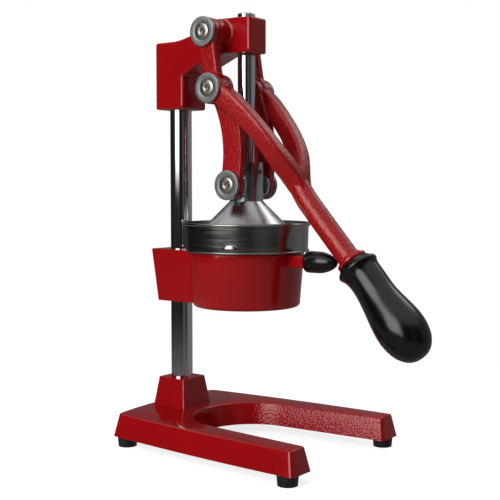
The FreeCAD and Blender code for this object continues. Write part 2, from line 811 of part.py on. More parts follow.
def fork_plan():
    """Plan of the fork, seen square to the lever: two arms that meet in a wishbone."""
    along = (bar_start - pivot_elbow).normalize()
    length = (bar_start - pivot_elbow).Length
    outward = V(0, along.z, -along.y)
    lift = outward * -plan_lift

    def spot(x, reach):
        return pivot_elbow + along * reach + V(x, 0, 0) + lift

    right = [
        line(spot(0, crotch_reach), spot(0, length)),
        line(spot(0, length), spot(arm_height / 2, length)),
        arc(spot(arm_height / 2, length), spot(neck_half, neck_reach), spot(hip_half, hip_reach)),
        arc(spot(hip_half, hip_reach), spot(bend_half, bend_reach), spot(shoulder_half, shoulder_reach)),
        line(spot(shoulder_half, shoulder_reach), spot(elbow_outer, 0)),
        line(spot(elbow_outer, 0), spot(elbow_outer - arm_thick, 0)),
        line(spot(elbow_outer - arm_thick, 0), spot(shoulder_half - arm_thick, shoulder_reach)),
        arc(spot(shoulder_half - arm_thick, shoulder_reach), spot(inner_bend_half, inner_bend_reach),
            spot(crotch_half, crotch_reach - crotch_half)),
        arc(spot(crotch_half, crotch_reach - crotch_half),
            spot(crotch_half * math.sqrt(0.5), crotch_reach - crotch_half * (1 - math.sqrt(0.5))),
            spot(0, crotch_reach)),
    ]
    return Part.Face(closed_wire(*right)).extrude(outward * (2 * plan_lift))


def lever_fork():
    side = slab(arm_side(), 0, 2 * elbow_outer)
    arm = side.common(fork_plan())
    strap, eyes = link_blank(0, upright_inner, fork_relief)
    relief = [eyes[0], strap.makeOffsetShape(fork_relief, 0.01)]
    half = fused(arm.cut(relief), upright(),
                 disc(at_x(pivot_elbow, upright_inner), RIGHT, elbow_dia, elbow_outer - upright_inner))
    taper_start = bar_start - bar_direction * bar_taper
    bar = fused(cone_piece(taper_start, bar_direction, bar_taper_dia, bar_dia, bar_taper),
                disc(bar_start, bar_direction, bar_dia, bar_length))
    collar = cone_piece(bar_end, bar_direction, bar_dia, collar_dia, collar_length)
    tang = disc(bar_end + bar_direction * collar_length, bar_direction, tang_dia, tang_length)
    lever = fused(half, mirrored(half), bar, collar, tang)
    cuts = []
    for sign in (-1, 1):
        inward = RIGHT * -sign
        cuts.append(disc(at_x(pivot_head, sign * 2 * elbow_outer), inward, pivot_bolt_dia + 2 * run_clear,
                         2 * elbow_outer - upright_inner / 2))
        cuts.append(disc(at_x(pivot_elbow, sign * 2 * elbow_outer), inward, pivot_bolt_dia + 2 * seat_clear,
                         2 * elbow_outer - upright_inner / 2))
    tang_tip = bar_end + bar_direction * (collar_length + tang_length)
    cuts.append(disc(tang_tip, bar_direction * -1, grip_screw_dia + 2 * seat_clear, grip_screw_grip))
    return lever.cut(cuts)


def along_bar(radius, reach):
    """Point of a profile round the lever's bar, by radius and distance from the collar's end."""
    return bar_end + bar_direction * (collar_length + reach) + bar_normal * radius


def handle_grip():
    guard = grip_guard_dia / 2
    waist = grip_waist_dia / 2
    belly = grip_belly_dia / 2
    tail = grip_length - belly
    curve = Part.BSplineCurve()
    curve.interpolate([
        along_bar(collar_dia / 2, 0), along_bar(guard, grip_guard_reach), along_bar(waist, grip_waist_reach),
        along_bar((waist + belly) / 2, (grip_waist_reach + tail) / 2 + grip_swell),
        along_bar(belly, tail - grip_round),
        along_bar(belly * grip_end_round, grip_length - belly * grip_end_share),
        along_bar(grip_end_dia / 2, grip_length),
    ])
    start = along_bar(0, 0)
    end = along_bar(0, grip_length)
    wire = closed_wire(line(start, along_bar(collar_dia / 2, 0)), curve.toShape(),
                       line(along_bar(grip_end_dia / 2, grip_length), end), line(end, start))
    body = Part.Face(wire).revolve(start, bar_direction, 360)
    return body.cut([
        disc(start, bar_direction, tang_dia + 2 * seat_clear, tang_length),
        disc(end, bar_direction * -1, grip_screw_dia + 2 * seat_clear, grip_length - tang_length),
        disc(end, bar_direction * -1, grip_screw_head_dia + 2 * seat_clear, grip_screw_head),
    ])


def grip_screw():
    end = along_bar(0, grip_length)
    head = disc(end, bar_direction * -1, grip_screw_head_dia, grip_screw_head)
    neck = end - bar_direction * grip_screw_head
    length = grip_length - tang_length - grip_screw_head + grip_screw_grip
    screw = fused(head, disc(neck, bar_direction * -1, grip_screw_dia, length))
    return screw.cut(hexagon(end, bar_direction * -1, grip_screw_socket, grip_screw_head / 2))


def build():
    save("base_casting", base_casting())
    for name, place in foot_places().items():
        save("foot_" + name, foot(place))
    save("foot_screws", Part.makeCompound([foot_screw(place) for place in foot_places().values()]))
    save("column", column())
    save("column_washer", column_washer())
    save("column_bolt", column_bolt())

    save("bowl_bracket", bowl_bracket())
    save("bracket_set_screws", Part.makeCompound([set_screw(place) for place in bracket_screw_places()]))
    save("bumper", bumper())
    save("bumper_stud", bumper_stud())
    save("juice_funnel", juice_funnel())
    save("strainer_cup", strainer_cup())

    save("head_casting", head_casting())
    save("head_set_screws", Part.makeCompound([set_screw(place) for place in head_screw_places()]))
    save("head_pivot_washers", pair(pivot_washer(pivot_head, head_washer_inner)))
    head_bolt_end = head_boss_half - pivot_bolt_sink
    save("head_pivot_bolts", pair(pivot_bolt(pivot_head, head_washer_inner, head_bolt_end)))

    save("press_bell", press_bell())
    save("press_rod", press_rod())
    save("rod_pin", rod_pin())
    save("bell_pivot_washers", pair(pivot_washer(pivot_bell, bell_washer_inner)))
    save("bell_pivot_bolts", pair(pivot_bolt(pivot_bell, bell_washer_inner, bell_bolt_end)))

    right_link = link()
    save("link_left", mirrored(right_link))
    save("link_right", right_link)
    save("elbow_nuts", pair(elbow_nut()))

    save("lever_fork", lever_fork())
    save("elbow_washers", pair(pivot_washer(pivot_elbow, elbow_outer)))
    save("elbow_bolts", pair(pivot_bolt(pivot_elbow, elbow_outer, upright_inner)))
    save("handle_grip", handle_grip())
    save("grip_screw", grip_screw())


os.makedirs("parts", exist_ok=True)
build()
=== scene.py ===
import json
import math
import bmesh
import bpy
from mathutils import Matrix, Vector

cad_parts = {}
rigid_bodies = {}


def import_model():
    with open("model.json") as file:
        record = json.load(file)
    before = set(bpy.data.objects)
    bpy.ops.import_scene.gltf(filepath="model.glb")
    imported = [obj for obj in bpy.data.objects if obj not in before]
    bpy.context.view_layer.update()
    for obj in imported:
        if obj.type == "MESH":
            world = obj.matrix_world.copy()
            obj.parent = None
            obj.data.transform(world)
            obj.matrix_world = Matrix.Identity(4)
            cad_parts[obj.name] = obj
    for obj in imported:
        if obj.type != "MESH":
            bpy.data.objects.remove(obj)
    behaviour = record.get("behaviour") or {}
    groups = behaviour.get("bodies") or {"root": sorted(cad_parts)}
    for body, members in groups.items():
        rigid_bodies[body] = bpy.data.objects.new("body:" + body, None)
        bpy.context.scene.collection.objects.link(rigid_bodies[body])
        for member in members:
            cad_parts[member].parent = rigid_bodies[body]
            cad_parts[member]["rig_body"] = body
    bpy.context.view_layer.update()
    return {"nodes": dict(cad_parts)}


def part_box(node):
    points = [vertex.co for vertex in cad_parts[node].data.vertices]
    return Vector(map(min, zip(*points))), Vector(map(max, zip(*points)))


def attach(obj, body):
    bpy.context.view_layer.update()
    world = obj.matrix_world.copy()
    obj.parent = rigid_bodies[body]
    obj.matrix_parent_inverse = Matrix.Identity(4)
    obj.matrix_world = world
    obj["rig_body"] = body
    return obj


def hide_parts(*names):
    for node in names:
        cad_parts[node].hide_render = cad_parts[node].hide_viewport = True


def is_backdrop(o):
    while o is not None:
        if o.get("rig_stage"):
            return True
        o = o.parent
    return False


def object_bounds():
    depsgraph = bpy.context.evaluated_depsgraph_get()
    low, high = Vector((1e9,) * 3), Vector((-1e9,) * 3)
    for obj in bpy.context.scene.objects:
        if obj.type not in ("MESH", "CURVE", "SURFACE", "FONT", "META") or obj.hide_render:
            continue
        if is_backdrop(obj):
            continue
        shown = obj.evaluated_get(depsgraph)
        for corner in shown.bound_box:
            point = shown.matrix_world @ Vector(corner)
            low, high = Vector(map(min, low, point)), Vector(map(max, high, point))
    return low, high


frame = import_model()
nodes = frame["nodes"]
scene = bpy.context.scene
scene.view_settings.view_transform = "Standard"
mm = 0.001   # metres; sizes below are in millimetres unless they belong to the studio
print("press loaded:", len(nodes), "pieces")


def hexColor(text):
    def channel(part):
        value = int(part, 16) / 255
        return value / 12.92 if value <= 0.04045 else ((value + 0.055) / 1.055) ** 2.4
    return (channel(text[1:3]), channel(text[3:5]), channel(text[5:7]), 1.0)


def addNode(tree, kind, settings=None, inputs=None):
    node = tree.nodes.new(kind)
    for key, value in (settings or {}).items():
        setattr(node, key, value)
    for key, value in (inputs or {}).items():
        if isinstance(value, bpy.types.NodeSocket):
            tree.links.new(value, node.inputs[key])
        else:
            node.inputs[key].default_value = value
    return node


def addMath(tree, operation, *values):
    node = addNode(tree, "ShaderNodeMath", {"operation": operation}, dict(enumerate(values)))
    return node.outputs["Value"]


def startMaterial(name):
    material = bpy.data.materials.new(name)
    material.use_nodes = True
    tree = material.node_tree
    tree.nodes.clear()
    shader = addNode(tree, "ShaderNodeBsdfPrincipled")
    addNode(tree, "ShaderNodeOutputMaterial", inputs={"Surface": shader.outputs["BSDF"]})
    coords = addNode(tree, "ShaderNodeTexCoord").outputs["Object"]
    return material, tree, shader, coords


def addNoise(tree, coords, sizeMm, detail):
    return addNode(tree, "ShaderNodeTexNoise", inputs={
        "Vector": coords, "Scale": 1.0 / (sizeMm * mm), "Detail": detail})


def addBump(tree, height, strength, deepMm):
    return addNode(tree, "ShaderNodeBump", inputs={
        "Height": height, "Strength": strength, "Distance": deepMm * mm})


def setTone(tree, shader, noise, look):
    tone = addNode(tree, "ShaderNodeMix", {"data_type": "RGBA"}, {
        "Factor": noise.outputs["Fac"], 6: hexColor(look["dark"]), 7: hexColor(look["light"])})
    tree.links.new(tone.outputs[2], shader.inputs["Base Color"])


def setRoughness(tree, shader, noise, limits, look):
    wander = addNode(tree, "ShaderNodeMapRange", inputs={
        "Value": noise.outputs["Fac"], "From Min": limits[0], "From Max": limits[1],
        "To Min": look["roughLow"], "To Max": look["roughHigh"]})
    tree.links.new(wander.outputs["Result"], shader.inputs["Roughness"])


# Red enamel baked on cast iron: deep glossy red with a slight orange peel, and pits of the sand
# casting that sparkle where the surface was left rough
enamelCoat = {"cloudDetail": 3.0, "peelDetail": 2.0, "peelLimits": (0.3, 0.7), "peelDeep": 0.3, "ior": 1.5,
              "pitDetail": 1.5, "pitRoughness": 0.6, "pitDeep": 0.8, "innerFrom": 12, "innerBy": 30}
enamelSmooth = {"dark": "#8f080d", "light": "#a40c12", "cloudMm": 60, "peelMm": 4.0, "peelStrength": 0.05,
                "pitMm": 0, "roughLow": 0.12, "roughHigh": 0.18, "innerOnly": False}
enamelBase = {**enamelSmooth, "pitMm": 2.1, "pitStrength": 0.52, "innerOnly": True}
enamelRough = {**enamelSmooth, "pitMm": 2.2, "pitStrength": 0.6, "peelStrength": 0.10,
               "roughLow": 0.20, "roughHigh": 0.28}


def redEnamel(name, look):
    material, tree, shader, coords = startMaterial(name)
    cloud = addNoise(tree, coords, look["cloudMm"], enamelCoat["cloudDetail"])
    peel = addNoise(tree, coords, look["peelMm"], enamelCoat["peelDetail"])
    setTone(tree, shader, cloud, look)
    setRoughness(tree, shader, peel, enamelCoat["peelLimits"], look)
    surface = addBump(tree, peel.outputs["Fac"], look["peelStrength"], enamelCoat["peelDeep"])
    if look["pitMm"]:
        pits = addNoise(tree, coords, look["pitMm"], enamelCoat["pitDetail"])
        pits.inputs["Roughness"].default_value = enamelCoat["pitRoughness"]
        depth = pits.outputs["Fac"]
        if look["innerOnly"]:   # rough only on the sides of the legs that face each other
            facing = addNode(tree, "ShaderNodeVectorMath", {"operation": "MULTIPLY"}, {
                0: addNode(tree, "ShaderNodeNewGeometry").outputs["True Normal"], 1: coords})
            across = addNode(tree, "ShaderNodeSeparateXYZ", inputs={"Vector": facing.outputs["Vector"]})
            rough = addNode(tree, "ShaderNodeMapRange", inputs={
                "Value": across.outputs["X"], "From Min": -enamelCoat["innerFrom"] * mm,
                "From Max": -enamelCoat["innerBy"] * mm})
            depth = addMath(tree, "MULTIPLY", depth, rough.outputs["Result"])
        pitted = addBump(tree, depth, look["pitStrength"], enamelCoat["pitDeep"])
        tree.links.new(surface.outputs["Normal"], pitted.inputs["Normal"])
        surface = pitted
    tree.links.new(surface.outputs["Normal"], shader.inputs["Normal"])
    shader.inputs["IOR"].default_value = enamelCoat["ior"]
    return material


redSmooth = redEnamel("redEnamelSmooth", enamelSmooth)
redBase = redEnamel("redEnamelOnBase", enamelBase)
redRough = redEnamel("redEnamelOnRoughCasting", enamelRough)


# Metals share one build: colour, a roughness that wanders, and fine marks along or round the piece
metalMarks = {"detail": 4.0, "limits": (0.25, 0.75), "deep": 0.1}


def metal(name, look):
    material, tree, shader, coords = startMaterial(name)
    squeeze = addNode(tree, "ShaderNodeMapping", inputs={"Vector": coords, "Scale": look["stretch"]})
    marks = addNoise(tree, squeeze.outputs["Vector"], look["markMm"], metalMarks["detail"])
    setTone(tree, shader, marks, look)
    setRoughness(tree, shader, marks, metalMarks["limits"], look)
    relief = addBump(tree, marks.outputs["Fac"], look["relief"], metalMarks["deep"])
    tree.links.new(relief.outputs["Normal"], shader.inputs["Normal"])
    shader.inputs["Metallic"].default_value = 1.0
    return material


# Hard chrome on ground bar: mirror-bright with faint lengthwise streaks
chromeBar = metal("hardChrome", {
    "dark": "#c9cacd", "light": "#e4e5e8", "markMm": 4, "stretch": (1, 1, 0.03),
    "roughLow": 0.02, "roughHigh": 0.06, "relief": 0.002})
# Spun stainless sheet: darker mirror with fine level rings from the spinning tool
spunSteel = metal("spunStainless", {
    "dark": "#8a8986", "light": "#aaa9a5", "markMm": 3, "stretch": (0.05, 0.05, 1),
    "roughLow": 0.14, "roughHigh": 0.28, "relief": 0.04})
# Cast aluminium, belt-polished: grey with a soft sheen and scattered polishing marks
castAluminium = metal("polishedCastAluminium", {
    "dark": "#a9aaab", "light": "#d2d3d4", "markMm": 7, "stretch": (1, 1, 0.4),
    "roughLow": 0.22, "roughHigh": 0.32, "relief": 0.006})
# Zinc-plated turned washers: pale grey satin
zincPlate = metal("zincPlate", {
    "dark": "#8e908f", "light": "#b4b6b4", "markMm": 1.5, "stretch": (1, 1, 1),
    "roughLow": 0.38, "roughHigh": 0.52, "relief": 0.08})
# Bright bolts, nickel-plated: warmer and shinier than the washers
brightBolt = metal("nickelPlate", {
    "dark": "#b3afa3", "light": "#d6d2c6", "markMm": 2, "stretch": (1, 1, 1),
    "roughLow": 0.26, "roughHigh": 0.40, "relief": 0.04})
# Blackened steel of the small screws and pins: dark grey and dull
plainSteel = metal("blackenedSteel", {
    "dark": "#4a4a4c", "light": "#6a6a6c", "markMm": 2, "stretch": (1, 1, 1),
    "roughLow": 0.35, "roughHigh": 0.5, "relief": 0.05})


# Black mouldings: gloss or satin over the same near-black, with a faint moulded ripple
mouldedGrain = {"detail": 3.0, "limits": (0.3, 0.7), "deep": 0.2, "ior": 1.52}


def blackMoulding(name, look):
    material, tree, shader, coords = startMaterial(name)
    grain = addNoise(tree, coords, look["grainMm"], mouldedGrain["detail"])
    setTone(tree, shader, grain, look)
    setRoughness(tree, shader, grain, mouldedGrain["limits"], look)
    relief = addBump(tree, grain.outputs["Fac"], look["relief"], mouldedGrain["deep"])
    tree.links.new(relief.outputs["Normal"], shader.inputs["Normal"])
    shader.inputs["IOR"].default_value = mouldedGrain["ior"]
    return material


# Phenolic of the grip, also used for the shiny bumper: black gloss
gripBlack = blackMoulding("glossPhenolic", {
    "dark": "#050505", "light": "#0b0b0b", "grainMm": 2.5, "relief": 0.06,
    "roughLow": 0.17, "roughHigh": 0.25})
# Rubber of the feet: greyer black, dull
rubberBlack = blackMoulding("mouldedRubber", {
    "dark": "#0b0b0b", "light": "#181818", "grainMm": 1.2, "relief": 0.2,
    "roughLow": 0.38, "roughHigh": 0.55})
print("finishes made:", len(bpy.data.materials))


def newPiece(name, mesh, material, body, replaced=()):
    piece = bpy.data.objects.new(name, mesh)
    scene.collection.objects.link(piece)
    piece.data.materials.clear()
    piece.data.materials.append(material)
    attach(piece, body)
    if replaced:
        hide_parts(*replaced)


def bodyOf(node):
    return nodes[node]["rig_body"]


# Merged copies of the CAD meshes: finish, slot, and the angle in degrees above which an edge stays crisp
smoothCopies = {
    "base_casting": (redBase, "red_enamel", 30),
    "bowl_bracket": (redSmooth, "red_enamel", 30),
    "link_left": (redRough, "red_enamel", 30),
    "link_right": (redRough, "red_enamel", 30),
    "strainer_cup": (spunSteel, "stainless", 35),
    "juice_funnel": (spunSteel, "stainless", 35),
    "press_bell": (castAluminium, "cast_aluminium", 30),
}
mergeWithin = 0.002


def mergedMesh(node):
    mesh = nodes[node].data.copy()
    shape = bmesh.new()
    shape.from_mesh(mesh)
    bmesh.ops.remove_doubles(shape, verts=shape.verts, dist=mergeWithin * mm)
    shape.to_mesh(mesh)
    shape.free()
    stored = mesh.attributes.get("custom_normal")
    if stored:   # normals kept from the loaded mesh no longer fit the merged one
        mesh.attributes.remove(stored)
    return mesh


def shadeByAngle(mesh, angle):
    mesh.shade_smooth()
    mesh.set_sharp_from_angle(angle=math.radians(angle))


# Rolled beads round the sheet's edges as (radius from the press axis, height, thickness), and the dimple
# pressed into the cup's wall
pressAxis = Vector((0, 41.4, 0))
sheetTrim = {
    "strainer_cup": {"beads": [(61.8, 221.3, 1.5)],
                     "dimple": {"bearing": 203.0, "radius": 60.2, "height": 199.6, "size": (2.4, 7.6, 5.0),
                                "around": 32, "upward": 20}},
    "juice_funnel": {"beads": [(60.9, 195.4, 0.9)]},
}


def addBead(shape, radius, height, thick, steps=120, sides=16):
    rings = []
    for i in range(steps):
        turn = 2 * math.pi * i / steps
        outward = Vector((math.cos(turn), math.sin(turn), 0))
        ring = []
        for k in range(sides):
            roll = 2 * math.pi * k / sides
            place = pressAxis + outward * (radius + thick * math.cos(roll))
            place.z = height + thick * math.sin(roll)
            ring.append(shape.verts.new(place * mm))
        rings.append(ring)
    for i in range(steps):
        near, far = rings[i], rings[(i + 1) % steps]
        for k in range(sides):
            j = (k + 1) % sides
            shape.faces.new([near[k], far[k], far[j], near[j]])


def addDimple(shape, dimple):
    bearing = math.radians(dimple["bearing"])
    place = pressAxis + Vector((math.cos(bearing), math.sin(bearing), 0)) * dimple["radius"]
    place.z = dimple["height"]
    seat = Matrix.Translation(place * mm) @ Matrix.Rotation(bearing, 4, "Z")
    size = Matrix.Diagonal((*[part * mm for part in dimple["size"]], 1.0))
    bmesh.ops.create_uvsphere(shape, u_segments=dimple["around"], v_segments=dimple["upward"], radius=1.0,
                              matrix=seat @ size)


def trimmedMesh(node, trim):
    shape = bmesh.new()
    shape.from_mesh(mergedMesh(node))
    for radius, height, thick in trim["beads"]:
        addBead(shape, radius, height, thick)
    if "dimple" in trim:
        addDimple(shape, trim["dimple"])
    mesh = bpy.data.meshes.new(node + "Trimmed")
    shape.to_mesh(mesh)
    shape.free()
    return mesh


for node, (material, slot, angle) in smoothCopies.items():
    mesh = trimmedMesh(node, sheetTrim[node]) if node in sheetTrim else mergedMesh(node)
    shadeByAngle(mesh, angle)
    newPiece(node + "_skin", mesh, material, bodyOf(node), [node])
print("smooth skins:", len(smoothCopies))


# Castings whose edges the mould rounds: a fine voxel skin of the solid, relaxed a little
def relaxedSkin(name, mesh, voxelMm, relax, factor=0.5):
    source = bpy.data.objects.new(name, mesh)
    scene.collection.objects.link(source)
    skin = source.modifiers.new("skin", "REMESH")
    skin.mode = "VOXEL"
    skin.voxel_size = voxelMm * mm
    skin.use_smooth_shade = True
    ease = source.modifiers.new("ease", "SMOOTH")
    ease.factor = factor
    ease.iterations = relax
    depsgraph = bpy.context.evaluated_depsgraph_get()
    made = bpy.data.meshes.new_from_object(source.evaluated_get(depsgraph))
    bpy.data.objects.remove(source)
    made.shade_smooth()
    return made


# Head: its web widens from the guide until it lies flush with the sides of the column block
head = {"voxelMm": 0.8, "relax": 34, "webHalf": 14.0, "blockHalf": 18.5, "widenFrom": 60.0, "widenBy": 78.0,
        "within": 0.3}
headMesh = mergedMesh("head_casting")
for vertex in headMesh.vertices:
    share = (vertex.co.y / mm - head["widenFrom"]) / (head["widenBy"] - head["widenFrom"])
    if abs(abs(vertex.co.x) / mm - head["webHalf"]) < head["within"] and share > 0:
        grown = head["webHalf"] + (head["blockHalf"] - head["webHalf"]) * min(share, 1.0)
        vertex.co.x = math.copysign(grown * mm, vertex.co.x)
headMesh = relaxedSkin("headSource", headMesh, head["voxelMm"], head["relax"])
newPiece("head_casting_skin", headMesh, redSmooth, bodyOf("head_casting"), ["head_casting"])
print("head rounded:", len(headMesh.polygons), "faces")


# Fork lever: the solid's upright bars and elbow bosses, with arms that bow up and close like a wishbone
fork = {
    "elbow": (54.4, 350.4), "barStart": (-22.6, 253.9), "barDip": 48.7, "cutAt": 11.0,
    # distance from the elbow, half distance between the arms, bow above the straight line, width, depth
    "spine": [(-4, 34.4, 0.0, 15.0, 18.0), (8, 34.0, 3.0, 16.0, 19.0), (17, 33.0, 5.9, 16.2, 19.2),
              (31, 30.6, 8.4, 16.0, 18.6), (50, 27.3, 10.2, 15.6, 17.8), (61, 25.3, 10.6, 15.6, 17.8),
              (70, 23.2, 10.4, 15.6, 17.8), (80, 20.5, 9.6, 15.8, 18.2), (90, 16.7, 8.2, 16.0, 19.0),
              (100, 11.0, 6.2, 16.0, 19.6), (110, 5.4, 3.8, 15.5, 19.6), (119, 2.0, 1.6, 15.0, 18.4),
              (130, 0.3, 0.0, 12.5, 14.5), (142, 0.0, -0.8, 9.0, 9.0)],
    "stepsPerKnot": 6, "armSides": 24, "squareness": 0.36,
    # distance along the bar, diameter, lift towards the arms
    "barRings": [(-26, 9.0, 7.0), (-18, 13.0, 5.2), (-9, 18.0, 2.6), (0, 20.6, 0.6), (10, 21.2, -0.4),
                 (22, 21.0, -0.8), (84, 21.0, -0.8)],
    "barSides": 48, "barDia": 21.0, "barLift": -0.8, "roundFrom": 4.0, "roundBy": 22.0,
    "voxelMm": 0.9, "relax": 14,
}
forkElbow = Vector((0, *fork["elbow"]))
barStart = Vector((0, *fork["barStart"]))
armAlong = (barStart - forkElbow).normalized()
armUp = Vector((0, armAlong.z, -armAlong.y))
barDip = math.radians(fork["barDip"])
barAlong = Vector((0, -math.cos(barDip), -math.sin(barDip)))
barUp = Vector((0, -math.sin(barDip), math.cos(barDip)))


def armSpot(reach, lift, x):
    return (forkElbow + armAlong * reach + armUp * lift) * mm + Vector((x * mm, 0, 0))


def bridgeRings(shape, rings):
    for near, far in zip(rings, rings[1:]):
        for k in range(len(near)):
            j = (k + 1) % len(near)
            shape.faces.new([near[k], near[j], far[j], far[k]])
    shape.faces.new(rings[0])
    shape.faces.new(rings[-1])


def closedMesh(name, shape):
    bmesh.ops.recalc_face_normals(shape, faces=shape.faces)
    mesh = bpy.data.meshes.new(name)
    shape.to_mesh(mesh)
    shape.free()
    return mesh


def sweepArm(shape, centres, widths, depths):
    power = fork["squareness"]
    rings = []
    for i, centre in enumerate(centres):
        ahead = (centres[min(i + 1, len(centres) - 1)] - centres[max(i - 1, 0)]).normalized()
        side = Vector((1, 0, 0))
        side = (side - ahead * side.dot(ahead)).normalized()
        rise = side.cross(ahead)
        ring = []
        for k in range(fork["armSides"]):
            turn = 2 * math.pi * k / fork["armSides"]
            c, s = math.cos(turn), math.sin(turn)
            u = math.copysign(abs(c) ** power, c) * widths[i] / 2
            v = math.copysign(abs(s) ** power, s) * depths[i] / 2
            ring.append(shape.verts.new(centre + side * u * mm + rise * v * mm))
        rings.append(ring)
    bridgeRings(shape, rings)


def curveThrough(points, stepsPerKnot):
    line = bpy.data.curves.new("spine", "CURVE")
    line.dimensions = "3D"
    spline = line.splines.new("BEZIER")
    spline.bezier_points.add(len(points) - 1)
    for knot, place in zip(spline.bezier_points, points):
        knot.co = place
        knot.handle_left_type = knot.handle_right_type = "AUTO"
    line.resolution_u = stepsPerKnot
    holder = bpy.data.objects.new("spine", line)
    scene.collection.objects.link(holder)
    depsgraph = bpy.context.evaluated_depsgraph_get()
    mesh = bpy.data.meshes.new_from_object(holder.evaluated_get(depsgraph))
    places = [vertex.co.copy() for vertex in mesh.vertices]
    bpy.data.objects.remove(holder)
    return places


def spreadEvenly(values, count):
    steps = (count - 1) / (len(values) - 1)
    spread = []
    for i in range(count):
        near = int(i / steps)
        far = min(near + 1, len(values) - 1)
        spread.append(values[near] + (values[far] - values[near]) * (i / steps - near))
    return spread


def addBar(shape):
    rings = []
    for reach, dia, lift in fork["barRings"]:
        middle = barStart + barAlong * reach + barUp * lift
        ring = []
        for k in range(fork["barSides"]):
            turn = 2 * math.pi * k / fork["barSides"]
            outward = Vector((1, 0, 0)) * math.cos(turn) + barUp * math.sin(turn)
            ring.append(shape.verts.new((middle + outward * dia / 2) * mm))
        rings.append(ring)
    bridgeRings(shape, rings)


# The bar is drawn out to a true round where it leaves the arms
def roundBar(mesh):
    begin = (barStart + barUp * fork["barLift"]) * mm
    radius = fork["barDia"] / 2 * mm
    for vertex in mesh.vertices:
        reach = (vertex.co - begin).dot(barAlong) / mm
        share = min(max((reach - fork["roundFrom"]) / (fork["roundBy"] - fork["roundFrom"]), 0.0), 1.0)
        share = share * share * (3 - 2 * share)
        middle = begin + barAlong * reach * mm
        radial = vertex.co - middle
        if share > 0 and radial.length > radius / 2:
            vertex.co = middle + radial * (1 - share + share * radius / radial.length)


def forkMesh():
    shape = bmesh.new()
    shape.from_mesh(mergedMesh("lever_fork"))
    cutPlace = (forkElbow + armAlong * fork["cutAt"]) * mm
    everything = shape.verts[:] + shape.edges[:] + shape.faces[:]
    bmesh.ops.bisect_plane(shape, geom=everything, plane_co=cutPlace, plane_no=armAlong, clear_outer=True)
    bmesh.ops.holes_fill(shape, edges=[edge for edge in shape.edges if edge.is_boundary])
    reaches, halves, lifts, widths, depths = zip(*fork["spine"])
    for side in (-1, 1):
        knots = [armSpot(reach, lift, side * half) for reach, half, lift in zip(reaches, halves, lifts)]
        centres = curveThrough(knots, fork["stepsPerKnot"])
        sweepArm(shape, centres, spreadEvenly(widths, len(centres)), spreadEvenly(depths, len(centres)))
    addBar(shape)
    mesh = relaxedSkin("forkSource", closedMesh("forkSource", shape), fork["voxelMm"], fork["relax"])
    roundBar(mesh)
    return mesh


leverMesh = forkMesh()
newPiece("lever_fork_skin", leverMesh, redRough, "lever", ["lever_fork"])
print("fork lever:", len(leverMesh.polygons), "faces")


# Turned shapes about an axis: a profile of (distance along, radius) pairs
turning = {"crease": 40, "tipRadius": 0.001}


def turnedMesh(name, profile, steps, place, along, sideways):
    shape = bmesh.new()
    across = along.cross(sideways)
    rings = []
    for reach, radius in profile:
        if radius < turning["tipRadius"]:
            rings.append([shape.verts.new(place + along * reach * mm)])
            continue
        ring = []
        for i in range(steps):
            turn = 2 * math.pi * i / steps
            outward = sideways * math.cos(turn) + across * math.sin(turn)
            ring.append(shape.verts.new(place + along * reach * mm + outward * radius * mm))
        rings.append(ring)
    for near, far in zip(rings, rings[1:]):
        for i in range(steps):
            j = (i + 1) % steps
            corners = [near[i % len(near)], near[j % len(near)], far[j % len(far)], far[i % len(far)]]
            corners = list(dict.fromkeys(corners))
            if len(corners) > 2:
                shape.faces.new(corners)
    mesh = closedMesh(name, shape)
    shadeByAngle(mesh, turning["crease"])
    return mesh


# Chromed bars, turned finely because a mirror shows every facet
chromeSteps = 160
chromeBars = {
    "column": {"place": (0, 125.4, 23.0), "profile": [(0, 0), (0, 11.0), (367.3, 11.0), (367.3, 0)]},
    "press_rod": {"place": (0, pressAxis.y, 250.6),
                  "profile": [(0, 0), (0, 8.5), (172.4, 8.5), (173.2, 8.1), (173.6, 7.3), (173.6, 0)]},
}
for node, bar in chromeBars.items():
    mesh = turnedMesh(node + "_skin", bar["profile"], chromeSteps, Vector(bar["place"]) * mm,
                      Vector((0, 0, 1)), Vector((1, 0, 0)))
    newPiece(node + "_skin", mesh, chromeBar, bodyOf(node), [node])
print("chromed bars turned:", len(chromeBars))

# Grip: swells to a belly, with its waist hollowed more on the underside
grip = {
    "start": (0.0, -76.06, 193.05), "steps": 72, "lift": 1.8, "liftAt": 28, "liftSpread": 17,
    "profile": [(6.6, 0.0), (6.6, 13.6), (6.9, 14.6), (7.6, 15.4), (9, 16.6), (10.4, 18.0), (11.4, 19.1),
                (12.4, 19.7), (13.6, 19.8), (14.8, 19.4), (16, 18.6), (18, 17.8), (21, 17.3), (25, 17.1),
                (30, 17.0), (36, 17.1), (42, 17.5), (48, 18.1), (56, 19.4), (64, 20.9), (72, 22.1),
                (78, 22.7), (84, 22.8), (90, 22.2), (96, 20.8), (101, 18.9), (105, 16.4), (108, 13.9),
                (110.5, 10.8), (112, 7.6), (112.2, 7.0), (112.2, 5.6), (108.2, 5.55), (108.2, 0.0)],
}
gripStart = Vector(grip["start"]) * mm
gripMesh = turnedMesh("handle_grip_skin", grip["profile"], grip["steps"], gripStart, barAlong, barUp)
for vertex in gripMesh.vertices:
    reach = (vertex.co - gripStart).dot(barAlong) / mm
    away = (reach - grip["liftAt"]) / grip["liftSpread"]
    vertex.co += barUp * grip["lift"] * math.exp(-away * away) * mm
newPiece("handle_grip_skin", gripMesh, gripBlack, "lever", ["handle_grip"])
print("grip turned:", len(gripMesh.polygons), "faces")

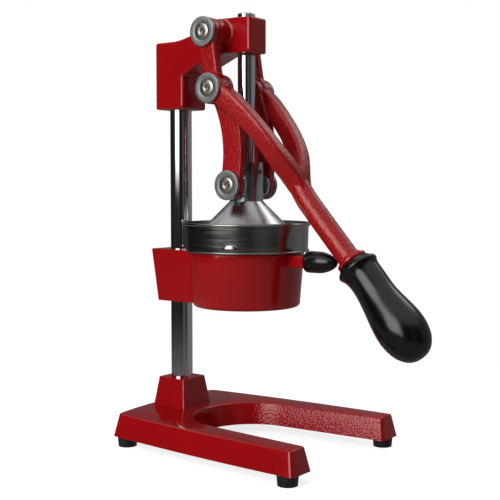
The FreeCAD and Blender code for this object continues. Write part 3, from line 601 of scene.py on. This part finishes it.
# Collar: a stepped flange at the end of the bar, which the grip butts against
collar = {
    "steps": 72,
    "profile": [(0.2, 9.4), (0.2, 10.9), (0.5, 11.5), (1.1, 11.8), (1.9, 11.9), (2.3, 12.3), (2.5, 13.2),
                (2.9, 14.1), (3.6, 14.6), (5.6, 14.6), (6.3, 14.3), (6.6, 13.7), (6.6, 9.4), (0.2, 9.4)],
}
collarMesh = turnedMesh("lever_collar", collar["profile"], collar["steps"], gripStart, barAlong, barUp)
newPiece("lever_collar", collarMesh, redSmooth, "lever")

# Bumper: a blunt barrel that tapers to its tip
barrel = {
    "place": (0, -30.6, 186.95), "steps": 72,
    "profile": [(0, 0), (0, 9.0), (0.3, 9.5), (1.0, 9.9), (2.5, 10.15), (6, 10.25), (12, 10.2), (15.5, 10.1),
                (17.5, 9.8), (20, 9.2), (23, 8.3), (26, 7.1), (29, 5.4), (31, 3.7), (32.2, 2.1), (32.7, 0)],
}
barrelMesh = turnedMesh("bumper_skin", barrel["profile"], barrel["steps"], Vector(barrel["place"]) * mm,
                        Vector((0, -1, 0)), Vector((0, 0, 1)))
newPiece("bumper_skin", barrelMesh, gripBlack, "frame", ["bumper"])
print("collar and bumper turned")


# Pivot hardware: one washer and one socket bolt, set at both ends of each pivot by geometry nodes
washer = {
    "thick": 3.6, "steps": 64,
    "profile": [(0, 5.05), (0, 13.7), (0.5, 14.25), (3.0, 14.25), (3.35, 14.15), (3.54, 13.95), (3.6, 13.6),
                (3.6, 8.7), (3.5, 8.4), (3.1, 8.25), (3.1, 7.95), (1.0, 7.95), (1.0, 5.05), (0, 5.05)],
}
bolt = {
    "headRadius": 7.8, "headLow": 1.0, "headHigh": 3.75, "shank": 5.0,
    "edge": [(1.12, 0.0), (0.42, 0.28), (0.07, 0.98)],   # below the top of the head, in from its side
    "flats": 4.4, "socketRim": 3.1, "socketStart": 0.25, "socketDepth": 2.2, "steps": 48, "crease": 35,
}
pivots = {
    "head": {"body": "frame", "shankEnd": 16.7,
             "washers": "head_pivot_washers", "bolts": "head_pivot_bolts"},
    "elbow": {"body": "lever", "shankEnd": 29.0,
              "washers": "elbow_washers", "bolts": "elbow_bolts"},
    "bell": {"body": "plunger", "shankEnd": 9.2,
             "washers": "bell_pivot_washers", "bolts": "bell_pivot_bolts"},
}


def boltMesh(shankLength):
    shape = bmesh.new()
    sector = math.radians(60)

    def addRing(reach, radius, hexagon=False):
        ring = []
        for i in range(bolt["steps"]):
            turn = 2 * math.pi * i / bolt["steps"]
            away = radius / math.cos(turn % sector - sector / 2) if hexagon else radius
            ring.append(shape.verts.new(Vector((reach, away * math.cos(turn), away * math.sin(turn))) * mm))
        return ring

    low, high, side = bolt["headLow"], bolt["headHigh"], bolt["headRadius"]
    rings = [addRing(low - shankLength, bolt["shank"]), addRing(low, bolt["shank"]), addRing(low, side)]
    rings += [addRing(high - below, side - inward) for below, inward in bolt["edge"]]
    rings.append(addRing(high, bolt["socketRim"]))
    for depth in (bolt["socketStart"], bolt["socketDepth"]):
        rings.append(addRing(high - depth, bolt["flats"] / 2, True))
    bridgeRings(shape, rings)
    mesh = closedMesh("pivotBolt", shape)
    shadeByAngle(mesh, bolt["crease"])
    return mesh


def pivotTree():
    tree = bpy.data.node_groups.new("setAtPivots", "GeometryNodeTree")
    for name, kind in (("Ends", "NodeSocketGeometry"), ("Piece", "NodeSocketObject"),
                       ("Size", "NodeSocketFloat"), ("Finish", "NodeSocketMaterial")):
        tree.interface.new_socket(name=name, in_out="INPUT", socket_type=kind)
    tree.interface.new_socket(name="Geometry", in_out="OUTPUT", socket_type="NodeSocketGeometry")
    given = addNode(tree, "NodeGroupInput")
    shape = addNode(tree, "GeometryNodeObjectInfo", inputs={"Object": given.outputs["Piece"]})
    facing = addNode(tree, "GeometryNodeInputNamedAttribute", {"data_type": "FLOAT"}, {"Name": "halfTurn"})
    turn = addNode(tree, "ShaderNodeCombineXYZ", inputs={"Z": facing.outputs["Attribute"]})
    placed = addNode(tree, "GeometryNodeInstanceOnPoints", inputs={
        "Points": given.outputs["Ends"], "Instance": shape.outputs["Geometry"],
        "Rotation": turn.outputs["Vector"], "Scale": given.outputs["Size"]})
    real = addNode(tree, "GeometryNodeRealizeInstances", inputs={"Geometry": placed.outputs["Instances"]})
    finished = addNode(tree, "GeometryNodeSetMaterial", inputs={
        "Geometry": real.outputs["Geometry"], "Material": given.outputs["Finish"]})
    addNode(tree, "NodeGroupOutput", inputs={"Geometry": finished.outputs["Geometry"]})
    return tree


pivotSetter = pivotTree()


def setAtPivots(name, shapeMesh, ends, material):
    shapeObject = bpy.data.objects.new(name + "Shape", shapeMesh)
    scene.collection.objects.link(shapeObject)
    pointMesh = bpy.data.meshes.new(name + "Ends")
    pointMesh.from_pydata([end for end, turn in ends], [], [])
    turns = pointMesh.attributes.new("halfTurn", "FLOAT", "POINT")
    turns.data.foreach_set("value", [turn for end, turn in ends])
    holder = bpy.data.objects.new(name + "Holder", pointMesh)
    scene.collection.objects.link(holder)
    setter = holder.modifiers.new("pivots", "NODES")
    setter.node_group = pivotSetter
    sockets = {item.name: item.identifier for item in pivotSetter.interface.items_tree
               if item.in_out == "INPUT"}
    setter[sockets["Piece"]] = shapeObject
    setter[sockets["Size"]] = 1.0
    setter[sockets["Finish"]] = material
    depsgraph = bpy.context.evaluated_depsgraph_get()
    mesh = bpy.data.meshes.new_from_object(holder.evaluated_get(depsgraph))
    bpy.data.objects.remove(holder)
    bpy.data.objects.remove(shapeObject)
    mesh.name = name
    return mesh


washerShape = turnedMesh("pivotWasher", washer["profile"], washer["steps"], Vector((0, 0, 0)),
                         Vector((1, 0, 0)), Vector((0, 1, 0)))
for name, pivot in pivots.items():
    low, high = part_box(pivot["washers"])
    inner = high.x - washer["thick"] * mm
    middle = (low + high) / 2
    ends = [(Vector((inner, middle.y, middle.z)), 0.0), (Vector((-inner, middle.y, middle.z)), math.pi)]
    mesh = setAtPivots(name + "Washers", washerShape.copy(), ends, zincPlate)
    newPiece(pivot["washers"] + "_skin", mesh, zincPlate, pivot["body"], [pivot["washers"]])
    length = inner / mm + bolt["headLow"] - pivot["shankEnd"]
    mesh = setAtPivots(name + "Bolts", boltMesh(length), ends, brightBolt)
    newPiece(pivot["bolts"] + "_skin", mesh, brightBolt, pivot["body"], [pivot["bolts"]])
print("pivot hardware set at", len(pivots), "pivots")


# The remaining CAD pieces keep their shape and take a finish
keptPieces = {
    zincPlate: ["elbow_nuts"],
    plainSteel: ["foot_screws", "column_washer", "column_bolt", "bracket_set_screws", "bumper_stud",
                 "head_set_screws", "rod_pin", "grip_screw"],
    rubberBlack: ["foot_front_left", "foot_front_right", "foot_rear_left", "foot_rear_right"],
}
for material, names in keptPieces.items():
    for name in names:
        nodes[name].data.materials.clear()
        nodes[name].data.materials.append(material)
print("kept pieces finished")


# Pale floor, in metres, that fades into the white of the backdrop and keeps the shadow near the press
floorLook = {"half": 4.0, "near": 0.30, "far": 0.75, "tone": "#bcbcbc", "lift": 0.80}
floorMesh = bpy.data.meshes.new("studioFloor")
half = floorLook["half"]
floorCorners = [(-half, -half, 0), (half, -half, 0), (half, half, 0), (-half, half, 0)]
floorMesh.from_pydata(floorCorners, [], [(0, 1, 2, 3)])
floor = bpy.data.objects.new("studioFloor", floorMesh)
scene.collection.objects.link(floor)
floor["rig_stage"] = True
floor.visible_glossy = False   # mirrors see the floor that is painted into the studio instead
floorPaper = bpy.data.materials.new("studioPaper")
floorPaper.use_nodes = True
tree = floorPaper.node_tree
tree.nodes.clear()
coords = addNode(tree, "ShaderNodeTexCoord").outputs["Object"]
away = addNode(tree, "ShaderNodeVectorMath", {"operation": "LENGTH"}, {0: coords}).outputs["Value"]
fade = addNode(tree, "ShaderNodeMapRange", {"interpolation_type": "SMOOTHSTEP"}, {
    "Value": away, "From Min": floorLook["near"], "From Max": floorLook["far"]}).outputs["Result"]
seen = addNode(tree, "ShaderNodeLightPath").outputs["Is Camera Ray"]
paper = addNode(tree, "ShaderNodeBsdfDiffuse", inputs={"Color": hexColor(floorLook["tone"])})
glow = addMath(tree, "MULTIPLY", seen, floorLook["lift"])
shine = addNode(tree, "ShaderNodeEmission", inputs={"Strength": glow})
lit = addNode(tree, "ShaderNodeAddShader", inputs={0: paper.outputs["BSDF"], 1: shine.outputs["Emission"]})
white = addNode(tree, "ShaderNodeEmission", inputs={"Strength": 1.0})
share = addMath(tree, "MULTIPLY", fade, seen)
blend = addNode(tree, "ShaderNodeMixShader", inputs={
    "Fac": share, 1: lit.outputs["Shader"], 2: white.outputs["Emission"]})
addNode(tree, "ShaderNodeOutputMaterial", inputs={"Surface": blend.outputs["Shader"]})
floorMesh.materials.append(floorPaper)
print("floor laid")

# Studio round the press: white to the eye, and for mirrors a dark room with a bright softbox on the left
# that fades out at the horizon, a bank overhead and the pale floor below. Limits of height are the upward
# part of the direction
studio = {
    "ambient": 0.13, "seam": 37.0, "boxLevel": 4.2, "boxLow": (-0.015, 0.06), "bank": 0.75,
    "bankLow": (0.50, 0.75), "floorLevel": 0.20, "floorHigh": (-0.12, -0.24),
    # share of a turn from the seam, and level there
    "room": [(0.0, 0.13), (0.03, 0.10), (0.15, 0.010), (0.30, 0.025), (0.48, 0.020), (0.52, 0.006),
             (0.55, 0.065), (0.58, 0.095), (0.62, 0.045), (0.66, 0.030), (0.72, 0.22), (0.76, 0.15),
             (0.81, 0.23), (0.87, 0.17), (0.95, 0.21), (0.985, 0.14), (1.0, 0.13)],
    "box": [(0.0, 0.0), (0.322, 0.0), (0.342, 1.0), (0.434, 1.0), (0.458, 0.0)],
}
world = bpy.data.worlds.new("studio")
scene.world = world
world.use_nodes = True
tree = world.node_tree
tree.nodes.clear()
direction = addNode(tree, "ShaderNodeTexCoord").outputs["Generated"]
parts = addNode(tree, "ShaderNodeSeparateXYZ", inputs={"Vector": direction})
angle = addMath(tree, "ARCTAN2", parts.outputs["Y"], parts.outputs["X"])
fromSeam = addMath(tree, "SUBTRACT", angle, math.radians(studio["seam"]))
wrapped = addMath(tree, "FRACT", addMath(tree, "DIVIDE", fromSeam, 2 * math.pi))


def grey(level):
    return (level, level, level, 1.0)


def bandRamp(stops):
    ramp = addNode(tree, "ShaderNodeValToRGB", inputs={"Fac": wrapped})
    for i, (at, level) in enumerate(stops):
        stop = ramp.color_ramp.elements[i] if i < 2 else ramp.color_ramp.elements.new(at)
        stop.position = at
        stop.color = grey(level)
    return ramp.outputs["Color"]


def heightShare(limits):
    return addNode(tree, "ShaderNodeMapRange", {"interpolation_type": "SMOOTHSTEP"}, {
        "Value": parts.outputs["Z"], "From Min": limits[0], "From Max": limits[1]}).outputs["Result"]


def mixed(share, first, second):
    return addNode(tree, "ShaderNodeMix", {"data_type": "RGBA"}, {
        "Factor": share, 6: first, 7: second}).outputs[2]


boxShare = addMath(tree, "MULTIPLY", bandRamp(studio["box"]), heightShare(studio["boxLow"]))
mirrorRoom = mixed(heightShare(studio["floorHigh"]), bandRamp(studio["room"]), grey(studio["floorLevel"]))
mirrorRoom = mixed(boxShare, mirrorRoom, grey(studio["boxLevel"]))
mirrorRoom = mixed(heightShare(studio["bankLow"]), mirrorRoom, grey(studio["bank"]))
path = addNode(tree, "ShaderNodeLightPath")
mirrored = addMath(tree, "MAXIMUM", path.outputs["Is Glossy Ray"], path.outputs["Is Transmission Ray"])
unseen = mixed(mirrored, grey(studio["ambient"]), mirrorRoom)
shown = mixed(path.outputs["Is Camera Ray"], unseen, grey(1.0))
background = addNode(tree, "ShaderNodeBackground", inputs={"Color": shown, "Strength": 1.0})
addNode(tree, "ShaderNodeOutputWorld", inputs={"Surface": background.outputs["Background"]})

# Soft lamps, in metres: a tall box on the left, a bank overhead, a weak fill from the right and a box high
# behind
lamps = {
    "keyBox": {"place": (-1.50, 0.25, 0.78), "size": (1.0, 1.3), "watts": 22},
    "topBank": {"place": (0.1, 0.0, 1.6), "size": (1.2, 1.2), "watts": 9},
    "fillBox": {"place": (0.35, -1.7, 0.6), "size": (0.7, 1.0), "watts": 0.6},
    "backBox": {"place": (1.10, -0.30, 1.20), "size": (0.6, 0.5), "watts": 1.7, "mirrored": True},
}
lampTarget = Vector((0.0, 0.02, 0.2))
for name, lamp in lamps.items():
    data = bpy.data.lights.new(name, "AREA")
    data.shape = "RECTANGLE"
    data.size, data.size_y = lamp["size"]
    data.energy = lamp["watts"]
    light = bpy.data.objects.new(name, data)
    scene.collection.objects.link(light)
    light.location = lamp["place"]
    light.visible_glossy = lamp.get("mirrored", False)   # else mirrors see the painted softbox of the studio
    light.rotation_euler = (lampTarget - light.location).to_track_quat("-Z", "Y").to_euler()
print("studio lit by", len(lamps), "lamps")

# Camera at the photograph's view: lens and sensor in millimetres, angles in degrees, place in metres
view = {"lens": 72.24, "sensor": 36.0, "clipStart": 0.01, "azimuth": -53.06, "above": 3.72,
        "place": (-0.7834, -0.55199, 0.2591)}
cameraData = bpy.data.cameras.new("photoView")
cameraData.lens = view["lens"]
cameraData.sensor_width = view["sensor"]
cameraData.clip_start = view["clipStart"]
camera = bpy.data.objects.new("photoView", cameraData)
scene.collection.objects.link(camera)
turn, rise = math.radians(view["azimuth"]), math.radians(view["above"])
backward = Vector((math.sin(turn) * math.cos(rise), -math.cos(turn) * math.cos(rise), math.sin(rise)))
camera.location = view["place"]
camera.rotation_euler = backward.to_track_quat("Z", "Y").to_euler()
scene.camera = camera

low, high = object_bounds()
